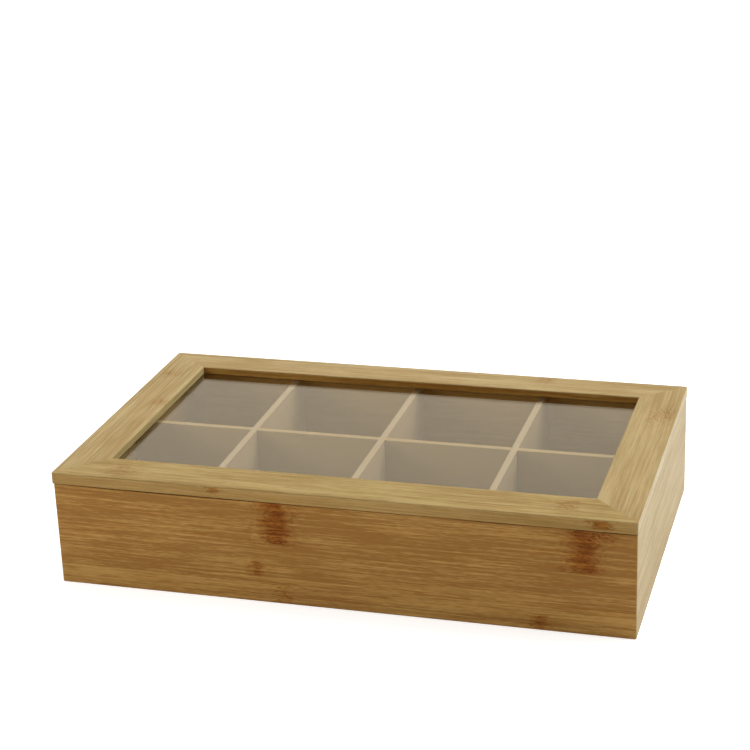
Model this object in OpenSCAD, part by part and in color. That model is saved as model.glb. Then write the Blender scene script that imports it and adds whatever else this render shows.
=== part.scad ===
// Tea bag organizer box: a mitred bamboo box with eight compartments and a
// hinged lid that frames a clear window. The origin is on the table, under
// the middle of the closed lid. +X is right, +Y is back, +Z is up.

/* [Box] */
// Outside width of the box, left to right
body_w = 335; // [270:1:420]
// Outside depth of the box, front to back
body_d = 200; // [160:1:280]
// Height of the four walls
body_h = 62; // [45:1:100]
// Thickness of the four walls
wall_t = 9; // [8:0.5:14]
// Radius of the rounded upright corners of the box and the lid
corner_r = 1; // [0.5:0.5:3]
// Thickness of the bottom panel
panel_t = 3; // [2:0.5:5]
// Height of the bottom panel's underside above the table
panel_lift = 5; // [3:0.5:10]
// How far the bottom panel reaches into its groove in each wall
panel_bite = 3; // [1.5:0.5:4]

/* [Dividers] */
// Thickness of the divider boards
divider_t = 3.8; // [2.5:0.1:6]
// How far the dividers' top edges lie below the rim
divider_drop = 1; // [0.5:0.5:8]
// Depth of the upright slots that hold the dividers' ends
slot_depth = 2; // [1:0.5:3]

/* [Lid] */
// Thickness of the lid's frame
lid_t = 7; // [6.5:0.5:12]
// Width of the lid's front rail and its two side rails
rail_w = 26.5; // [20:0.5:40]
// Width of the lid's back rail, which carries the hinges
back_rail_w = 23.5; // [20:0.5:40]
// How far the lid stands out past the front wall
lid_over_front = 0.8; // [0:0.1:3]
// How far the lid stands out past the left wall
lid_over_left = 0.5; // [0:0.1:3]
// How far the lid stands out past the right wall
lid_over_right = 0.2; // [0:0.1:3]
// Gap between the rim and the closed lid
lid_gap = 0.6; // [0.3:0.1:1]
// Thickness of the tongues inside the lid's mitres
tongue_t = 2; // [1.5:0.5:2.5]

/* [Window] */
// Thickness of the window pane
pane_t = 2; // [1.5:0.5:2.5]
// Depth of the pane's top face below the lid's top face
pane_depth = 4.2; // [3:0.1:5]
// Width of the rebate under the frame's inner edge that holds the pane
rebate_w = 6; // [4:0.5:8]

/* [Hinges] */
// Length of each hinge along its pin
hinge_len = 24; // [18:1:32]
// Radius of the hinge pin
pin_r = 0.8; // [0.6:0.1:1]
// Thickness of the hinge's sheet metal
leaf_t = 0.8; // [0.6:0.1:1]
// How far the pin's axis lies in from the box's back face
pin_inset = 2.5; // [2:0.1:4]
// Angle to which the lid opens before the two back bevels meet
open_angle = 100; // [92:1:110]
// Length of the screws in the wall
wall_screw_len = 8; // [6:0.5:14]
// Length of the screws in the lid
lid_screw_len = 5; // [4:0.5:5.5]

/* [Hidden] */

// Compartments: four along the width, two along the depth
columns = 4;

// Clearances of the joinery
groove_slack = 0.5;
groove_play = 0.2;
slot_play = 0.2;
slot_end_play = 0.3;
half_lap_play = 0.1;
tongue_play = 0.1;
pane_play = 0.5;

// Clearances of the hinges
leaf_half_gap = 0.1;
leaf_edge_gap = 1;
knuckle_gap = 0.2;
barrel_play = 0.15;
pin_running_play = 0.05;
pin_fixed_play = 0.01;
stop_play = 0.6;
screw_play = 0.05;

// Hinge screws: shank, countersunk head, cross recess, point and end distance
screw_r = 0.9;
screw_head_r = 1.7;
recess_w = 0.5;
recess_l = 2;
recess_d = 0.5;
screw_point = 2;
screw_end_margin = 4.5;

// Width of each tongue across its mitre
tongue_w = 6;

// Length by which a cut runs past the face that it opens
over = 1;
$fn = 48;

// Box, lid and inside
lid_w = body_w + lid_over_left + lid_over_right;
lid_d = body_d + lid_over_front;
lid_left = -lid_w / 2;
lid_front = -lid_d / 2;
left_x = lid_left + lid_over_left;
front_y = lid_front + lid_over_front;
mid_x = left_x + body_w / 2;
mid_y = front_y + body_d / 2;
inner_w = body_w - 2 * wall_t;
inner_d = body_d - 2 * wall_t;
floor_z = panel_lift + panel_t;
lid_z = body_h + lid_gap;
compartment_w = (inner_w - (columns - 1) * divider_t) / columns;
divider_pitch = compartment_w + divider_t;
divider_h = body_h - divider_drop - floor_z;

// Window opening and the rebate below it
rebate_h = lid_t - pane_depth;
window_w = lid_w - 2 * rail_w;
window_d = lid_d - rail_w - back_rail_w;
window_mid_y = (rail_w - back_rail_w) / 2;

// Tongues: each lies on its mitre, between the lid's edge and the rebate
tongue_room = min(rail_w, back_rail_w) - rebate_w;
tongue_len = 0.55 * tongue_room;

// Hinges: each pin lies in the joint plane, over the middle of an end compartment
pin_y = front_y + body_d - pin_inset;
pin_z = body_h + lid_gap / 2;
hinge_x = (inner_w - compartment_w) / 2;
barrel_r = pin_r + leaf_t;
leaf_w = wall_t - pin_inset - leaf_edge_gap;
knuckle_len = (hinge_len - 2 * knuckle_gap) / 3;
screw_x = hinge_len / 2 - screw_end_margin;
screw_y = -(barrel_r + leaf_w) / 2;
bevel_angle = (open_angle + stop_play) / 2;

bamboo = "burlywood";
pale_board = "wheat";
brass = "goldenrod";

// Plan of a board whose ends are mitred: the long edge lies on +X, the board
// reaches `wide` towards +Y, and its ends are cut back by `start` and `end`.
module mitred_plan(length, wide, start, end) {
    polygon([[0, 0], [length, 0], [length - end, wide], [start, wide]]);
}

// Each of these places a board drawn along +X on one side of a rectangle
// whose front left corner is at (x, y).
module on_front(x, y) {
    translate([x, y, 0]) children();
}

module on_back(x, y, depth) {
    translate([x, y + depth, 0]) mirror([0, 1, 0]) children();
}

module on_left(x, y, depth) {
    translate([x, y + depth, 0]) rotate([0, 0, -90]) children();
}

module on_right(x, y, width) {
    translate([x + width, y, 0]) rotate([0, 0, 90]) children();
}

// Block with rounded upright corners
module rounded_block(x, y, w, d, z, h) {
    translate([x, y, z]) linear_extrude(h) {
        translate([corner_r, 0]) square([w - 2 * corner_r, d]);
        translate([0, corner_r]) square([w, d - 2 * corner_r]);
        for (cx = [corner_r, w - corner_r]) for (cy = [corner_r, d - corner_r])
            translate([cx, cy]) circle(r = corner_r);
    }
}

// A wall is a mitred board, rounded at the box's corners and cut for what it holds
module wall_board(length) {
    linear_extrude(body_h) mitred_plan(length, wall_t, wall_t, wall_t);
}

module finished_wall() {
    color(bamboo) difference() {
        intersection() {
            rounded_block(left_x, front_y, body_w, body_d, 0, body_h);
            children();
        }
        bottom_groove();
        for (i = [0 : columns - 2]) cross_slot(i);
        long_slot();
        back_bevel(-1);
        for (side = [-1, 1]) at_hinge(side) hinge_seat(-1, wall_screw_len);
    }
}

module front_wall() {
    finished_wall() on_front(left_x, front_y) wall_board(body_w);
}

module back_wall() {
    finished_wall() on_back(left_x, front_y, body_d) wall_board(body_w);
}

module left_wall() {
    finished_wall() on_left(left_x, front_y, body_d) wall_board(body_d);
}

module right_wall() {
    finished_wall() on_right(left_x, front_y, body_w) wall_board(body_d);
}

// Block centred on the box's inside in plan, from height z up
module inside_block(w, d, z, h) {
    translate([mid_x - w / 2, mid_y - d / 2, z]) cube([w, d, h]);
}

module bottom_panel() {
    color(pale_board)
        inside_block(inner_w + 2 * panel_bite, inner_d + 2 * panel_bite, panel_lift, panel_t);
}

module bottom_groove() {
    reach = 2 * (panel_bite + groove_slack);
    inside_block(inner_w + reach, inner_d + reach, panel_lift, panel_t + groove_play);
}

// Moves something from the middle of the box to cross divider number i
module at_cross(i) {
    translate([(i - (columns - 2) / 2) * divider_pitch, 0, 0]) children();
}

// Upright slots, open at the rim, that the dividers drop into
module cross_slot(i) {
    at_cross(i) inside_block(divider_t + slot_play, inner_d + 2 * slot_depth, floor_z, body_h);
}

module long_slot() {
    inside_block(inner_w + 2 * slot_depth, divider_t + slot_play, floor_z, body_h);
}

// Length of a divider that spans `clear` and sits in the slots at both ends
function divider_len(clear) = clear + 2 * (slot_depth - slot_end_play);

// The dividers cross in half laps: the long one is slotted from above, the
// three cross ones from below.
module long_divider() {
    lap_z = floor_z + divider_h / 2 - half_lap_play;
    color(pale_board) difference() {
        inside_block(divider_len(inner_w), divider_t, floor_z, divider_h);
        for (i = [0 : columns - 2])
            at_cross(i) inside_block(divider_t + slot_play, divider_t + 2 * over, lap_z, divider_h);
    }
}

module cross_divider(i) {
    lap_h = divider_h / 2 + half_lap_play;
    color(pale_board) at_cross(i) difference() {
        inside_block(divider_t, divider_len(inner_d), floor_z, divider_h);
        inside_block(divider_t + 2 * over, divider_t + slot_play, floor_z - over, lap_h + over);
    }
}

// Bevel along the whole back edge, above (1) or below (-1) the joint plane.
// The two bevels meet when the lid is open and hold it there.
module back_bevel(side) {
    reach = pin_inset + over;
    rise = reach * tan(bevel_angle);
    translate([0, pin_y, pin_z]) rotate([90, 0, 90])
        linear_extrude(lid_w + 2 * over, center = true)
            polygon([[0, 0], [reach, side * rise], [reach, -side * over], [0, -side * over]]);
}

// A rail is a mitred board of the lid's frame, rounded at the lid's corners
module rail_board(length, wide, start, end) {
    translate([0, 0, lid_z]) linear_extrude(lid_t) mitred_plan(length, wide, start, end);
}

module finished_rail() {
    color(bamboo) difference() {
        intersection() {
            rounded_block(lid_left, lid_front, lid_w, lid_d, lid_z, lid_t);
            children();
        }
        pane_rebate();
        corner_tongues(tongue_play);
        back_bevel(1);
        for (side = [-1, 1]) at_hinge(side) hinge_seat(1, lid_screw_len);
    }
}

module lid_front_rail() {
    finished_rail() on_front(lid_left, lid_front) rail_board(lid_w, rail_w, rail_w, rail_w);
}

module lid_back_rail() {
    finished_rail() on_back(lid_left, lid_front, lid_d)
        rail_board(lid_w, back_rail_w, rail_w, rail_w);
}

module lid_left_rail() {
    finished_rail() on_left(lid_left, lid_front, lid_d)
        rail_board(lid_d, rail_w, back_rail_w, rail_w);
}

module lid_right_rail() {
    finished_rail() on_right(lid_left, lid_front, lid_w)
        rail_board(lid_d, rail_w, rail_w, back_rail_w);
}

// Block centred on the window opening in plan, reaching `reach` past each side
module window_block(reach, z, h) {
    translate([-window_w / 2 - reach, window_mid_y - window_d / 2 - reach, z])
        cube([window_w + 2 * reach, window_d + 2 * reach, h]);
}

module pane_rebate() {
    window_block(rebate_w, lid_z - over, rebate_h + over);
}

// The pane is bonded up against the rebate's ceiling
module window_pane() {
    color("lightgray", 0.4) window_block(rebate_w - pane_play, lid_z + rebate_h - pane_t, pane_t);
}

// Flat tongues glued into blind slots across the four mitres of the lid
module corner_tongues(play) {
    for (sx = [-1, 1]) for (sy = [-1, 1]) {
        end_w = sy < 0 ? rail_w : back_rail_w;
        share = (1 - rebate_w / min(rail_w, end_w)) / 2;
        x = lid_w / 2 - share * rail_w;
        y = lid_d / 2 - share * end_w;
        translate([sx * x, sy * y, lid_z + lid_t / 2])
            rotate([0, 0, sx * sy * atan(end_w / rail_w)])
                cube([tongue_len, tongue_w, tongue_t] + 2 * play * [1, 1, 1], center = true);
    }
}

module lid_corner_tongues() {
    color(pale_board) corner_tongues(0);
}

// Hinge parts are drawn about the middle of the pin, which lies along X. The
// leaves reach towards -Y. A side of 1 is the lid's and -1 is the wall's.
module at_hinge(end) {
    translate([mid_x + end * hinge_x, pin_y, pin_z]) children();
}

module on_side(side) {
    mirror([0, 0, side > 0 ? 0 : 1]) children();
}

module along_pin(x, length, r) {
    translate([x, 0, 0]) rotate([0, 90, 0]) cylinder(r = r, h = length);
}

// The two screws of a leaf, with their heads' faces in the leaf's outer face
module at_screws() {
    for (x = [-screw_x, screw_x]) translate([x, screw_y, leaf_half_gap]) children();
}

// Pocket for one leaf, with room for the barrel and the two pilot holes
module hinge_seat(side, screw_len) {
    seat_len = hinge_len + 2 * barrel_play;
    along_pin(-seat_len / 2, seat_len, barrel_r + barrel_play);
    on_side(side) {
        translate([-seat_len / 2, -leaf_w - barrel_play, -over])
            cube([seat_len, leaf_w + barrel_play, leaf_half_gap + leaf_t + over]);
        at_screws() cylinder(r = screw_r + screw_play, h = screw_len + screw_play);
    }
}

// Start of knuckle k, of three, along the pin
function knuckle_x(k) = -hinge_len / 2 + k * (knuckle_len + knuckle_gap);

// A leaf with its rolled knuckles: `own` are its own and `other` its partner's
module hinge_leaf(side, own, other, bore_r) {
    color(brass) on_side(side) difference() {
        union() {
            translate([-hinge_len / 2, -leaf_w, leaf_half_gap]) cube([hinge_len, leaf_w, leaf_t]);
            for (k = own) along_pin(knuckle_x(k), knuckle_len, barrel_r);
        }
        for (k = other)
            along_pin(knuckle_x(k) - knuckle_gap, knuckle_len + 2 * knuckle_gap, barrel_r + barrel_play);
        along_pin(-hinge_len / 2 - over, hinge_len + 2 * over, bore_r);
        at_screws() cylinder(r1 = screw_head_r + screw_play, r2 = screw_r + screw_play, h = leaf_t);
    }
}

module wall_leaf(end) {
    at_hinge(end) hinge_leaf(-1, [0, 2], [1], pin_r + pin_fixed_play);
}

module lid_leaf(end) {
    at_hinge(end) hinge_leaf(1, [1], [0, 2], pin_r + pin_running_play);
}

module hinge_pin(end) {
    color(brass) at_hinge(end) along_pin(-hinge_len / 2, hinge_len, pin_r);
}

// Countersunk wood screw, driven towards +Z, with a cross recess in its head
module wood_screw(length) {
    difference() {
        union() {
            cylinder(r1 = screw_head_r, r2 = screw_r, h = leaf_t);
            cylinder(r = screw_r, h = length - screw_point);
            translate([0, 0, length - screw_point]) cylinder(r1 = screw_r, r2 = 0, h = screw_point);
        }
        for (turn = [0, 90]) rotate([0, 0, turn])
            translate([-recess_l / 2, -recess_w / 2, -over]) cube([recess_l, recess_w, recess_d + over]);
    }
}

module leaf_screws(end, side, length) {
    color(brass) at_hinge(end) on_side(side) at_screws() wood_screw(length);
}

front_wall();
back_wall();
left_wall();
right_wall();
bottom_panel();
long_divider();
cross_divider(0);  // cross_divider_left
cross_divider(1);  // cross_divider_middle
cross_divider(2);  // cross_divider_right
lid_front_rail();
lid_back_rail();
lid_left_rail();
lid_right_rail();
lid_corner_tongues();
window_pane();
wall_leaf(-1);  // left_hinge_wall_leaf
lid_leaf(-1);  // left_hinge_lid_leaf
hinge_pin(-1);  // left_hinge_pin
leaf_screws(-1, -1, wall_screw_len);  // left_hinge_wall_screws
leaf_screws(-1, 1, lid_screw_len);  // left_hinge_lid_screws
wall_leaf(1);  // right_hinge_wall_leaf
lid_leaf(1);  // right_hinge_lid_leaf
hinge_pin(1);  // right_hinge_pin
leaf_screws(1, -1, wall_screw_len);  // right_hinge_wall_screws
leaf_screws(1, 1, lid_screw_len);  // right_hinge_lid_screws
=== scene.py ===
from math import exp, radians

import bmesh
import bpy
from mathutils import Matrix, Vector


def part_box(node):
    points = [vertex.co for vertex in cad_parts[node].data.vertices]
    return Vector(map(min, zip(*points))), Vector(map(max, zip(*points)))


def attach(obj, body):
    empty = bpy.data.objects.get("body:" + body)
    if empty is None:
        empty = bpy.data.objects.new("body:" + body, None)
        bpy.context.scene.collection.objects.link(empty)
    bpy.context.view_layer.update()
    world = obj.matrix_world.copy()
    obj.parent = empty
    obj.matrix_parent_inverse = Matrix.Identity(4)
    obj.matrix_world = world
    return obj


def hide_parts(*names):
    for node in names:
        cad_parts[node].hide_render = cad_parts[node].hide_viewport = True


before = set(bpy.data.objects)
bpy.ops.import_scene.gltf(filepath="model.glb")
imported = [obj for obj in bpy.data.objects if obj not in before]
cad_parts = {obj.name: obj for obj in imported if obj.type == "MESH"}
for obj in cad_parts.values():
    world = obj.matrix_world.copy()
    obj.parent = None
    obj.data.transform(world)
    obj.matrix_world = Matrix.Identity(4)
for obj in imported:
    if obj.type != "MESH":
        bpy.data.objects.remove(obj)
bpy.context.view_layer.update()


# Box walls
# Four boards of laminated bamboo, mitred and glued at the corners and finished with a
# satin lacquer. Each board is pressed from flat strips, so its face shows the strips'
# seams, long fine fibres and here and there the dark mark of a bamboo node.
seam_ease = 0.00015
foot_ease = 0.0006
ease_steps = 3
rim_cuts = 30
rim_band = 0.001
half_width = (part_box("front_wall")[1].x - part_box("front_wall")[0].x) / 2
dips = ((-0.090, 0.055, 0.00040), (0.088, 0.014, 0.00025), (0.162, 0.012, 0.00025))
same_place = 2e-6
same_line = 1e-5
flat_turn = radians(0.5)
level_face = 0.99
outer_face = 0.6
sharp_turn = radians(35)


def joined_copy(node):
    """A copy of a CAD node's mesh with its loose triangles joined into whole faces."""
    shape = bmesh.new()
    shape.from_mesh(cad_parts[node].data)
    bmesh.ops.remove_doubles(shape, verts=shape.verts, dist=same_place)
    bmesh.ops.dissolve_limit(
        shape, angle_limit=flat_turn, verts=shape.verts, edges=shape.edges
    )
    bmesh.ops.recalc_face_normals(shape, faces=shape.faces)
    return shape


def ease_rims(shape, outward, height, ease):
    """Rounds a board's long edges at one height, where they meet its outer and inner face."""
    axis, sign = ("XY".index(outward[1]), -1 if outward[0] == "-" else 1)
    reach = [sign * v.co[axis] for v in shape.verts]
    inner_face = min(reach)

    def is_rim(edge):
        if len(edge.link_faces) != 2:
            return False
        level, side = sorted(edge.link_faces, key=lambda f: -abs(f.normal.z))
        if abs(level.normal.z) < level_face or abs(side.normal.z) > 1 - level_face:
            return False
        if any(abs(v.co.z - height) > same_line for v in edge.verts):
            return False
        facing = sign * side.normal[axis]
        on_inner = all(sign * v.co[axis] - inner_face < same_line for v in edge.verts)
        return facing > outer_face or (facing < -level_face and on_inner)

    bmesh.ops.bevel(
        shape,
        geom=[e for e in shape.edges if is_rim(e)],
        affect="EDGES",
        offset=ease,
        segments=ease_steps,
        profile=0.5,
        material=-1,
        clamp_overlap=True,
        loop_slide=True,
    )


def bow_rim(shape, height):
    """Lets a wall's top edge sink a hair here and there, so the seam under the lid varies."""
    for cut in range(rim_cuts):
        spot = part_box("front_wall")[0].x + (cut + 1) / (rim_cuts + 1) * 2 * half_width
        bmesh.ops.bisect_plane(
            shape,
            geom=shape.verts[:] + shape.edges[:] + shape.faces[:],
            dist=same_place,
            plane_co=(spot, 0, 0),
            plane_no=(1, 0, 0),
        )
    for vert in shape.verts:
        if vert.co.z > height - rim_band:
            wave = sum(depth * exp(-(((vert.co.x - at) / width) ** 2)) for at, width, depth in dips)
            vert.co.z -= wave


def finish_piece(shape, name, materials, body, node):
    """Makes the object of a shape, hangs it on the body it moves with and hides the CAD node it
    stands for.
    """
    bmesh.ops.recalc_face_normals(shape, faces=shape.faces)
    for face in shape.faces:
        face.smooth = True
    for edge in shape.edges:
        edge.smooth = edge.calc_face_angle(0) < sharp_turn
    mesh = bpy.data.meshes.new(name)
    shape.to_mesh(mesh)
    shape.free()
    piece = bpy.data.objects.new(name, mesh)
    bpy.context.scene.collection.objects.link(piece)
    for material in materials:
        mesh.materials.append(material)
    even = piece.modifiers.new("even_shading", "WEIGHTED_NORMAL")
    even.keep_sharp = True
    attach(piece, body)
    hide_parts(node)
    return piece


class Wire:
    """A socket in a material's nodes, so that sums on it can be written in Python."""

    def __init__(self, tree, socket=None):
        self.tree = tree
        self.socket = socket

    def add(self, kind, settings=None, inputs=None, out=0):
        """Adds one node: its settings first, then the values or links of its sockets."""
        node = self.tree.nodes.new(kind)
        for key, value in (settings or {}).items():
            if key == "stops":
                ramp = node.color_ramp
                while len(ramp.elements) < len(value):
                    ramp.elements.new(1.0)
                for element, (place, colour) in zip(ramp.elements, value):
                    element.position = place
                    element.color = (*colour, 1.0)
            else:
                setattr(node, key, value)
        for key, value in (inputs or {}).items():
            if isinstance(value, Wire):
                self.tree.links.new(value.socket, node.inputs[key])
            else:
                node.inputs[key].default_value = value
        return Wire(self.tree, node.outputs[out] if node.outputs else None)

    def sum_of(self, operation, first, second=0.0):
        return self.add("ShaderNodeMath", {"operation": operation}, {0: first, 1: second})

    def __add__(self, other):
        return self.sum_of("ADD", self, other)

    def __radd__(self, other):
        return self.sum_of("ADD", other, self)

    def __sub__(self, other):
        return self.sum_of("SUBTRACT", self, other)

    def __rsub__(self, other):
        return self.sum_of("SUBTRACT", other, self)

    def __mul__(self, other):
        return self.sum_of("MULTIPLY", self, other)

    def __rmul__(self, other):
        return self.sum_of("MULTIPLY", other, self)

    def __truediv__(self, other):
        return self.sum_of("DIVIDE", self, other)

    def __rtruediv__(self, other):
        return self.sum_of("DIVIDE", other, self)

    def __gt__(self, other):
        return self.sum_of("GREATER_THAN", self, other)

    def __abs__(self):
        return self.sum_of("ABSOLUTE", self)


def rise(value, start, end):
    """Nought before start and one after end, with a soft step between."""
    ends = {"Value": value, "From Min": start, "From Max": end, "To Min": 0.0, "To Max": 1.0}
    return value.add("ShaderNodeMapRange", {"interpolation_type": "SMOOTHSTEP"}, ends)


def cloud(x, y, z, detail=2.0):
    """Soft noise from nought to one at a place that is given in sizes of its own grain."""
    first = next(w for w in (x, y, z) if isinstance(w, Wire))
    place = first.add("ShaderNodeCombineXYZ", inputs={0: x, 1: y, 2: z})
    return place.add("ShaderNodeTexNoise", inputs={"Vector": place, "Scale": 1.0, "Detail": detail})


def blend(share, first, second, way="MIX"):
    """A mix of two colours."""
    settings = {"data_type": "RGBA", "blend_type": way, "clamp_factor": True}
    return share.add("ShaderNodeMix", settings, {0: share, 6: first, 7: second}, out=2)


# Streaks of the grain: how many to a metre along it and across it, and their roughness
sway_grain = (13, 55, 2.0)
dash_grain = (190, 1700, 1.0)
fine_grain = (45, 1250, 2.0)
long_grain = (11, 700, 2.0)
band_grain = (8, 150, 1.0)
patch_grain = (16, 42, 1.0)
ruddy_grain = (14, 190, 2.0)
pore_grain = (140, 2300, 1.0)
ragged_grain = (110, 950, 3.0)
lean_grain = (70, 170, 3.0)
curl_grain = (260, 330, 2.0)
speck_grain = (380, 1000, 1.0)
# How strongly the broader streaks change the tone
fine_share, long_share, band_share, patch_share, glue_share = 2.0, 1.8, 0.8, 1.0, 0.25
# How far the fibres sway, and what they do round a node, in metres
sway = 0.0008
curl_reach = 0.0026
lean_reach = 0.004
node_edge = 0.0012
glue_line = (0.00010, 0.00035)
# How far apart two strips, and two uses of one pattern, are taken from the same noise
strip_shift = 0.37
ruddy_shift = 7.7
# What tints the wood: reddish streaks, and the halo, specks and scorch of a node
ruddy_tint = (1.0, 0.87, 0.72, 1)
halo_tint = (0.80, 0.62, 0.34, 1)
speck_tint = (0.62, 0.46, 0.22, 1)
scorch_dark = (0.46, 0.23, 0.02, 1)
scorch_light = (0.84, 0.58, 0.24, 1)
# The lacquer is smoothest on pale wood and follows the fibres a little
lacquer_rough = 0.40
lacquer_dull = 0.10
fibre_relief = {"Strength": 0.25, "Distance": 0.0002}


def streaks(along, over, into, grain):
    """Soft streaks that run along the grain."""
    length, width, detail = grain
    return cloud(along * length, over * width, into * width, detail)


def bamboo(
    name, grain, across, seed, pale, deep, seams=(), nodes=(), contrast=1.0, gloss=0.5, fleck=0.8
):
    """Laminated bamboo. Grain and across name the axes along its fibres and over its strips.

    A seam is a place across the strips and the change of tone past it. A node is its place
    along the grain, its half width, its reach across and in depth, and its strength.
    """
    material = bpy.data.materials.new(name)
    material.use_nodes = True
    material.node_tree.nodes.clear()
    start = Wire(material.node_tree)
    place = start.add("ShaderNodeTexCoord", out="Object")
    axis = {a: place.add("ShaderNodeSeparateXYZ", inputs={0: place}, out=a) for a in "XYZ"}
    depth = next(a for a in "XYZ" if a not in (grain, across))
    along, over, into = axis[grain], axis[across], axis[depth]

    strip = 0.0
    tone_step = 0.0
    glue = 0.0
    for seam, change in seams:
        past = over > seam
        strip = past + strip
        tone_step = past * change + tone_step
        glue = (1 - rise(abs(over - seam), *glue_line)) + glue

    length, width, detail = sway_grain
    slow = cloud(along * length + seed, over * width, into * width, detail)
    drift = over + (slow - 0.5) * sway
    marks = 0.0
    halo = 0.0
    stir = 0.0
    if nodes:
        length, width, detail = ragged_grain
        ragged = cloud(along * length + seed, over * width, into * width, detail)
        length, width, detail = lean_grain
        lean = cloud(along * length + seed, over * width, into * width, detail)
    for at, half, (over_a, over_b), (into_a, into_b), strength in nodes:
        over_here = over + (lean - 0.5) * lean_reach
        inside = (
            rise(over_here, over_a - node_edge, over_a + node_edge)
            * (1 - rise(over_here, over_b - node_edge, over_b + node_edge))
            * rise(into, into_a - node_edge, into_a + node_edge)
            * (1 - rise(into, into_b - node_edge, into_b + node_edge))
        )
        far = abs(along - at + (lean - 0.5) * half * 2.2) / half
        close = 1 - rise(far + (ragged - 0.5) * 1.5, 0.35, 1.35)
        marks = close * inside * strength + marks
        halo = (1 - rise(far + (ragged - 0.5) * 0.9, 0.7, 2.2)) * inside * strength + halo
        near = 1 - rise(abs(along - at), half * 0.8, half * 3.5)
        stir = near * inside + stir
    if nodes:
        length, width, detail = curl_grain
        curl = cloud(along * length, over * width + seed, into * width, detail)
        drift = drift + (curl - 0.5) * stir * curl_reach

    here = along + strip * strip_shift + seed
    dash = streaks(here, drift, into, dash_grain)
    fine = streaks(here, drift, into, fine_grain)
    long = streaks(here, drift, into, long_grain)
    band = streaks(here, drift, into, band_grain)
    patch = streaks(here, over, into, patch_grain)
    tone = (
        0.5
        + (dash - 0.5) * (fleck * contrast)
        + (fine - 0.5) * (fine_share * contrast)
        + (long - 0.5) * (long_share * contrast)
        + (band - 0.5) * (band_share * contrast)
        + (patch - 0.5) * (patch_share * contrast)
        + tone_step
        - glue * glue_share
    )
    wood = blend(tone, (*deep, 1), (*pale, 1))
    length, width, detail = ruddy_grain
    ruddy = cloud(here * length + ruddy_shift, drift * width, into * width, detail)
    wood = blend(rise(ruddy, 0.45, 0.75) * 0.35, wood, ruddy_tint, "MULTIPLY")
    pores = rise(streaks(here, drift, into, pore_grain), 0.60, 0.78)
    wood = blend(pores * 0.35, wood, (deep[0] * 0.6, deep[1] * 0.5, deep[2] * 0.4, 1))
    if nodes:
        wood = blend(halo * 0.55, wood, halo_tint, "MULTIPLY")
        specks = rise(streaks(along, drift, into, speck_grain), 0.50, 0.66)
        wood = blend(specks * stir * 0.70, wood, speck_tint, "MULTIPLY")
        scorch = blend(rise(fine, 0.32, 0.62), scorch_dark, scorch_light)
        wood = blend(marks, wood, scorch, "MULTIPLY")
    lacquer = lacquer_rough + (1 - tone) * lacquer_dull
    grooves = fine * 0.6 + long * 0.4
    surface = start.add("ShaderNodeBump", inputs={**fibre_relief, "Height": grooves})
    shader = start.add(
        "ShaderNodeBsdfPrincipled",
        inputs={
            "Base Color": wood,
            "Roughness": lacquer,
            "Specular IOR Level": gloss,
            "Normal": surface,
        },
    )
    start.add("ShaderNodeOutputMaterial", inputs={"Surface": shader})
    return material


wall_low, wall_high = 0.0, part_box("front_wall")[1].z
front_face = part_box("front_wall")[0].y
back_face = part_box("back_wall")[1].y
wall_depth = (front_face - 0.002, front_face + 0.003)
back_depth = (back_face - 0.003, back_face + 0.002)
wall_tan = (0.512, 0.294, 0.083)
wall_brown = (0.310, 0.145, 0.033)
side_tan = (0.392, 0.286, 0.097)
side_brown = (0.287, 0.191, 0.053)
inside_tan = (0.450, 0.280, 0.094)
inside_brown = (0.300, 0.168, 0.044)
inside_contrast = 0.5
inside_gloss = 0.2
front_nodes = (
    (-0.0345, 0.0068, (0.0365, 0.0650), wall_depth, 0.90),
    (-0.0465, 0.0030, (0.0160, 0.0255), wall_depth, 0.60),
    (-0.0310, 0.0038, (-0.002, 0.0118), wall_depth, 0.25),
    (0.1390, 0.0062, (0.0365, 0.0650), wall_depth, 0.85),
    (0.1500, 0.0045, (0.0560, 0.0650), wall_depth, 0.45),
    (0.1150, 0.0040, (-0.002, 0.0100), wall_depth, 0.45),
)
back_nodes = (
    (0.0920, 0.0050, (0.0300, 0.0640), back_depth, 0.65),
    (-0.1020, 0.0040, (-0.001, 0.0210), back_depth, 0.45),
)
# The front wall's strips step darker upwards. The steps are partly the strips' own tones and partly
# painted light: the lower strips are painted lighter to offset the shade that falls near the floor.
front_strips_and_painted_light = ((0.0125, -0.22), (0.0365, -0.12))
back_strips = ((0.0210, -0.04), (0.0300, 0.05))
left_strips = ((0.0180, 0.04), (0.0410, -0.04))
right_strips = ((0.0200, 0.03), (0.0440, -0.03))
# Each wall's outward side, grain, tones, strips, nodes, contrast, gloss and flecks
walls = {
    "front": ("-Y", "X", wall_tan, wall_brown, front_strips_and_painted_light, front_nodes, 1.0, 0.1, 1.3),
    "back": ("+Y", "X", wall_tan, wall_brown, back_strips, back_nodes, 1.0, 0.2, 1.3),
    "left": ("-X", "Y", side_tan, side_brown, left_strips, (), 0.8, 0.4, 0.8),
    "right": ("+X", "Y", side_tan, side_brown, right_strips, (), 0.8, 0.4, 0.8),
}
for count, (side, (outward, grain, *look)) in enumerate(walls.items()):
    board = joined_copy(side + "_wall")
    ease_rims(board, outward, wall_low, foot_ease)
    ease_rims(board, outward, wall_high, seam_ease)
    if side == "front":
        bow_rim(board, wall_high)
    strips = look[2]
    inside = (inside_tan, inside_brown, strips, (), inside_contrast, inside_gloss)
    finishes = [
        bamboo(side + "_wall_bamboo", grain, "Z", 3.1 * count + 1.7, *look),
        bamboo(side + "_wall_inside", grain, "Z", 3.1 * count + 9.2, *inside),
    ]
    axis, sign = ("XY".index(outward[1]), -1 if outward[0] == "-" else 1)
    board.normal_update()
    for face in board.faces:
        inward = sign * face.normal[axis] < -level_face
        face.material_index = 1 if inward or abs(face.normal.z) > level_face else 0
    finish_piece(board, side + "_wall_board", finishes, "box", side + "_wall")


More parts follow.
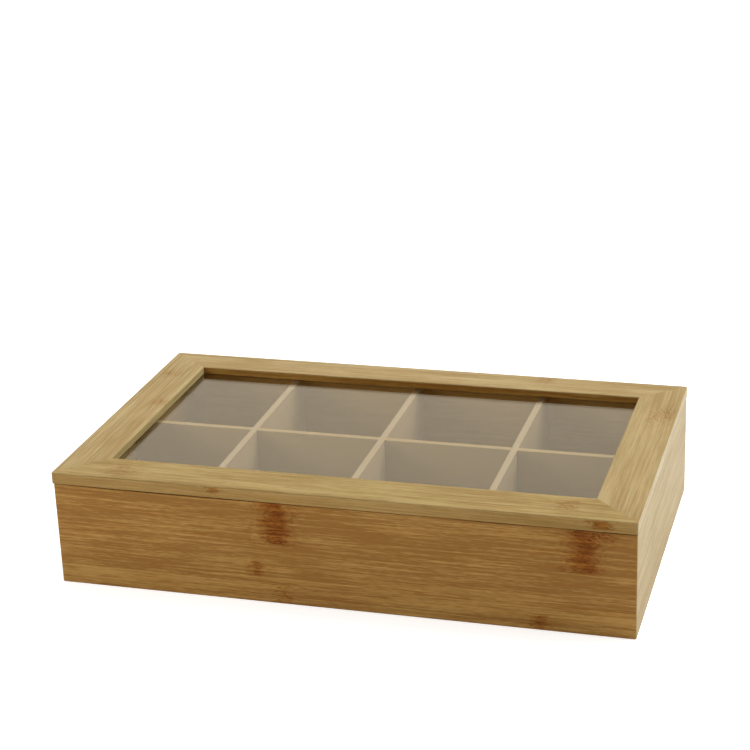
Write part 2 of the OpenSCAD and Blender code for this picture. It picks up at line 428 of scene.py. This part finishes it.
# Bottom panel
# A thin pale board that sits in a groove round the inside of the four walls.
# Its fibres run the length of the box, and it is left plain.
pale_light = (0.428, 0.325, 0.210)
pale_dark = (0.374, 0.273, 0.160)
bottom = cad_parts["bottom_panel"]
bottom.data.materials.clear()
bottom.data.materials.append(
    bamboo("bottom_panel_board", "X", "Y", 21.3, pale_light, pale_dark, contrast=0.6)
)


# Dividers
# One long board and three short ones, halved over each other where they cross
# and held by slots in the walls. They are thin, pale and smooth.
# The long divider is painted darker and warmer than the short ones. This is painted shade for its
# front face, which faces away from the lamps and gets little light.
long_light_painted_shade = (0.400, 0.278, 0.130)
long_dark_painted_shade = (0.350, 0.232, 0.095)
dividers = {
    "long_divider": ("X", long_light_painted_shade, long_dark_painted_shade),
    "cross_divider_left": ("Y", pale_light, pale_dark),
    "cross_divider_middle": ("Y", pale_light, pale_dark),
    "cross_divider_right": ("Y", pale_light, pale_dark),
}
for count, (node, (grain, light_tone, dark_tone)) in enumerate(dividers.items()):
    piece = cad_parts[node]
    piece.data.materials.clear()
    piece.data.materials.append(
        bamboo(node + "_board", grain, "Z", 31.7 + count, light_tone, dark_tone, contrast=0.5)
    )


# Lid frame
# Four flat rails of laminated bamboo, mitred and glued round the window, with all
# their outer edges eased. The back rail is narrower and carries the hinges.
lid_ease = 0.0007
lid_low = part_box("lid_front_rail")[0].z
lid_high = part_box("lid_front_rail")[1].z
front_rail_tan = (0.345, 0.242, 0.085)
front_rail_brown = (0.222, 0.142, 0.038)
front_edge_tan = (0.448, 0.284, 0.098)
front_edge_brown = (0.322, 0.190, 0.054)
side_rail_tan = (0.374, 0.278, 0.127)
side_rail_brown = (0.259, 0.171, 0.060)
side_edge_tan = (0.460, 0.365, 0.170)
side_edge_brown = (0.370, 0.280, 0.115)
window_tan = (0.455, 0.250, 0.058)
window_brown = (0.285, 0.128, 0.022)
through = (lid_low - 0.001, lid_high + 0.001)
front_rail_nodes = (
    (-0.1300, 0.0045, (-0.0975, -0.0800), through, 0.25),
    (0.1270, 0.0045, (-0.0925, -0.0800), through, 0.25),
)
front_depth = (-0.1020, -0.0980)
front_edge_nodes = (
    (-0.0700, 0.0030, (0.0655, 0.0720), front_depth, 0.6),
    (0.1475, 0.0050, (0.0640, 0.0720), front_depth, 0.85),
)
left_rail_nodes = (
    (0.0625, 0.0040, (-0.1640, -0.1520), through, 0.3),
    (0.0135, 0.0040, (-0.1530, -0.1400), through, 0.3),
)
right_rail_nodes = ((0.0495, 0.0060, (0.1520, 0.1660), through, 0.25),)
back_rail_nodes = ((0.0810, 0.0045, (0.0900, 0.1015), through, 0.25),)
front_look = (front_rail_tan, front_rail_brown, ((-0.0900, 0.04),), front_rail_nodes, 1.4)
back_look = (side_rail_tan, side_rail_brown, ((0.0900, -0.04),), back_rail_nodes, 1.2)
left_look = (side_rail_tan, side_rail_brown, ((-0.1440, 0.10),), left_rail_nodes, 1.2, 0.5, 0.3)
right_look = (side_rail_tan, side_rail_brown, ((0.1560, 0.03),), right_rail_nodes, 1.0, 0.5, 0.2)
front_edge = (front_edge_tan, front_edge_brown, (), front_edge_nodes, 1.0, 0.1)
side_edge = (side_edge_tan, side_edge_brown)
window_edge = (window_tan, window_brown, (), (), 1.3, 0.1)
side_window_edge = (side_edge_tan, side_edge_brown, (), (), 1.2, 0.1)
# Each rail's outward side, grain, strips' direction, and its top, outer edge and inner edge
rails = {
    "front": ("-Y", "X", "Y", front_look, front_edge, window_edge),
    "back": ("+Y", "X", "Y", back_look, side_edge, window_edge),
    "left": ("-X", "Y", "X", left_look, side_edge, side_window_edge),
    "right": ("+X", "Y", "X", right_look, side_edge, side_window_edge),
}
for count, (side, (outward, grain, across, *looks)) in enumerate(rails.items()):
    look, edge_look, window_look = looks
    node = "lid_" + side + "_rail"
    rail = joined_copy(node)
    ease_rims(rail, outward, lid_low, seam_ease)
    ease_rims(rail, outward, lid_high, lid_ease)
    finishes = [
        bamboo(node + "_bamboo", grain, across, 41.9 + 2.3 * count, *look),
        bamboo(node + "_window_edge", grain, "Z", 57.3 + count, *window_look),
        bamboo(node + "_outer_edge", grain, "Z", 63.7 + count, *edge_look),
        bamboo(node + "_underside", grain, across, 71.1 + 1.9 * count, inside_tan, inside_brown),
    ]
    axis, sign = ("XY".index(outward[1]), -1 if outward[0] == "-" else 1)
    rail.normal_update()
    for face in rail.faces:
        facing = sign * face.normal[axis]
        if face.normal.z < -level_face:
            face.material_index = 3
        elif facing < -level_face:
            face.material_index = 1
        else:
            face.material_index = 2 if facing > level_face else 0
    finish_piece(rail, node + "_board", finishes, "lid", node)


# Corner tongues
# Thin slips of wood glued into slots across the lid's mitres. They are hidden
# inside the frame once it is put together.
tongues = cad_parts["lid_corner_tongues"]
tongues.data.materials.clear()
tongues.data.materials.append(
    bamboo("corner_tongue_wood", "X", "Y", 61.3, pale_light, pale_dark, contrast=0.6)
)


# Window pane
# A clear acrylic sheet in a rebate under the frame's inner edge. It mirrors the room
# at a low angle, so the compartments show through a pale veil.
wipe_size = 22.0
wipe_rough = 0.02
acrylic_ior = 1.49
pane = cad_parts["window_pane"]
clear = bpy.data.materials.new("clear_acrylic")
clear.use_nodes = True
clear.node_tree.nodes.clear()
start = Wire(clear.node_tree)
place = start.add("ShaderNodeTexCoord", out="Object")
wipe = place.add("ShaderNodeTexNoise", inputs={"Vector": place, "Scale": wipe_size, "Detail": 3.0})
sheet = start.add(
    "ShaderNodeBsdfPrincipled",
    inputs={
        "Base Color": (0.96, 0.97, 0.96, 1),
        "Roughness": wipe * wipe_rough,
        "IOR": acrylic_ior,
        "Transmission Weight": 1.0,
    },
)
open_sheet = start.add("ShaderNodeBsdfTransparent", inputs={"Color": (0.88, 0.88, 0.87, 1)})
for kind in ("Is Diffuse Ray", "Is Shadow Ray"):
    let_by = start.add("ShaderNodeLightPath", out=kind)
    sheet = start.add("ShaderNodeMixShader", inputs={0: let_by, 1: sheet, 2: open_sheet})
start.add("ShaderNodeOutputMaterial", inputs={"Surface": sheet})
pane.data.materials.clear()
pane.data.materials.append(clear)


# Hinges
# Two small brass butt hinges, each of two folded leaves on a pin, let into the back
# wall and the lid's back rail and held by two small screws in each leaf.
bright_brass = (0.70, 0.50, 0.22, 1)
dull_brass = (0.58, 0.39, 0.16, 1)
brush_relief = {"Strength": 0.15, "Distance": 0.0001}
brass = bpy.data.materials.new("brushed_brass")
brass.use_nodes = True
brass.node_tree.nodes.clear()
start = Wire(brass.node_tree)
place = start.add("ShaderNodeTexCoord", out="Object")
axis = {a: place.add("ShaderNodeSeparateXYZ", inputs={0: place}, out=a) for a in "XYZ"}
brush = streaks(axis["X"], axis["Y"], axis["Z"], (400, 6000, 2.0))
dull = streaks(axis["X"], axis["Y"], axis["Z"], (300, 300, 3.0))
metal = blend(rise(dull, 0.35, 0.7), bright_brass, dull_brass)
brushed = start.add("ShaderNodeBump", inputs={**brush_relief, "Height": brush})
shader = start.add(
    "ShaderNodeBsdfPrincipled",
    inputs={
        "Base Color": metal,
        "Metallic": 1.0,
        "Roughness": 0.24 + brush * 0.16 + dull * 0.08,
        "Normal": brushed,
    },
)
start.add("ShaderNodeOutputMaterial", inputs={"Surface": shader})
for end in ("left", "right"):
    for part in ("wall_leaf", "lid_leaf", "pin", "wall_screws", "lid_screws"):
        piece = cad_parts[end + "_hinge_" + part]
        piece.data.materials.clear()
        piece.data.materials.append(brass)


# Floor
# A plain white table under the box. It keeps the box's soft shadow and shows as
# white where nothing shades it.
floor_half = 2.2
seen_glow = 0.6
mirrored_glow = 0.4
floor_shape = bmesh.new()
bmesh.ops.create_grid(floor_shape, x_segments=1, y_segments=1, size=floor_half)
floor_mesh = bpy.data.meshes.new("floor")
floor_shape.to_mesh(floor_mesh)
floor_shape.free()
floor = bpy.data.objects.new("floor", floor_mesh)
bpy.context.scene.collection.objects.link(floor)
white = bpy.data.materials.new("white_table")
white.use_nodes = True
white.node_tree.nodes.clear()
start = Wire(white.node_tree)
seen = start.add("ShaderNodeLightPath", out="Is Camera Ray")
mirrored = start.add("ShaderNodeLightPath", out="Is Glossy Ray")
through_pane = start.add("ShaderNodeLightPath", out="Is Transmission Ray")
lift = seen.sum_of("MAXIMUM", seen, through_pane)
table = start.add(
    "ShaderNodeBsdfPrincipled",
    inputs={
        "Base Color": (0.82, 0.82, 0.82, 1),
        "Roughness": 0.8,
        "Emission Color": (1, 1, 1, 1),
        "Emission Strength": lift * seen_glow + mirrored * (1 - seen) * mirrored_glow,
    },
)
start.add("ShaderNodeOutputMaterial", inputs={"Surface": table})
floor_mesh.materials.append(white)


# Room light
# An even white room with four soft lamps: a large one on the right, two larger ones
# high up behind, and a weak one low in front on the left. What the lacquer and the
# pane mirror is a warm, pale wall.
soft_light = (0.20, 0.20, 0.20, 1)
warm_wall = (1.00, 0.865, 0.645, 1)
white_wall = (1, 1, 1, 1)
through_both = 2.5
world = bpy.data.worlds.new("white_room")
bpy.context.scene.world = world
world.use_nodes = True
world.node_tree.nodes.clear()
start = Wire(world.node_tree)
seen = start.add("ShaderNodeLightPath", out="Is Camera Ray")
mirrored = start.add("ShaderNodeLightPath", out="Is Glossy Ray")
through_pane = start.add("ShaderNodeLightPath", out="Is Transmission Ray")
past_pane = start.add("ShaderNodeLightPath", out="Ray Depth") > through_both
direct = seen.sum_of("MAXIMUM", seen, through_pane * (1 - past_pane))
shine = seen.sum_of("MAXIMUM", mirrored, through_pane)
tint = blend(shine, soft_light, warm_wall)
tint = blend(direct, tint, white_wall)
room = start.add("ShaderNodeBackground", inputs={"Color": tint, "Strength": 1.0})
start.add("ShaderNodeOutputWorld", inputs={"Surface": room})

# Each lamp's place, width and power
lamps = {
    "side_lamp": ((1.50, 0.20, 0.70), 1.0, 11.5),
    "high_lamp": ((0.60, 0.90, 1.90), 1.2, 35.0),
    "back_lamp": ((-0.50, 0.30, 2.00), 1.4, 11.0),
    "left_lamp": ((-0.80, -0.70, 0.50), 0.5, 4.7),
}
for name, (spot, size, power) in lamps.items():
    light = bpy.data.lights.new(name, "AREA")
    light.size = size
    light.energy = power
    lamp = bpy.data.objects.new(name, light)
    bpy.context.scene.collection.objects.link(lamp)
    lamp.location = spot
    lamp.visible_glossy = False
    lamp.visible_transmission = False
    lamp.rotation_euler = (-lamp.location).to_track_quat("-Z", "Y").to_euler()


# Camera
# It looks down on the box from the front right, through a long lens.
lens = bpy.data.cameras.new("camera")
lens.sensor_width = 36.0
lens.lens = 92.631
camera = bpy.data.objects.new("camera", lens)
bpy.context.scene.collection.objects.link(camera)
camera.location = (0.300469, -1.015465, 0.506238)
camera.rotation_euler = (radians(69.148), radians(2.0132), radians(15.8629))
bpy.context.scene.camera = camera
bpy.context.scene.view_settings.view_transform = "Standard"
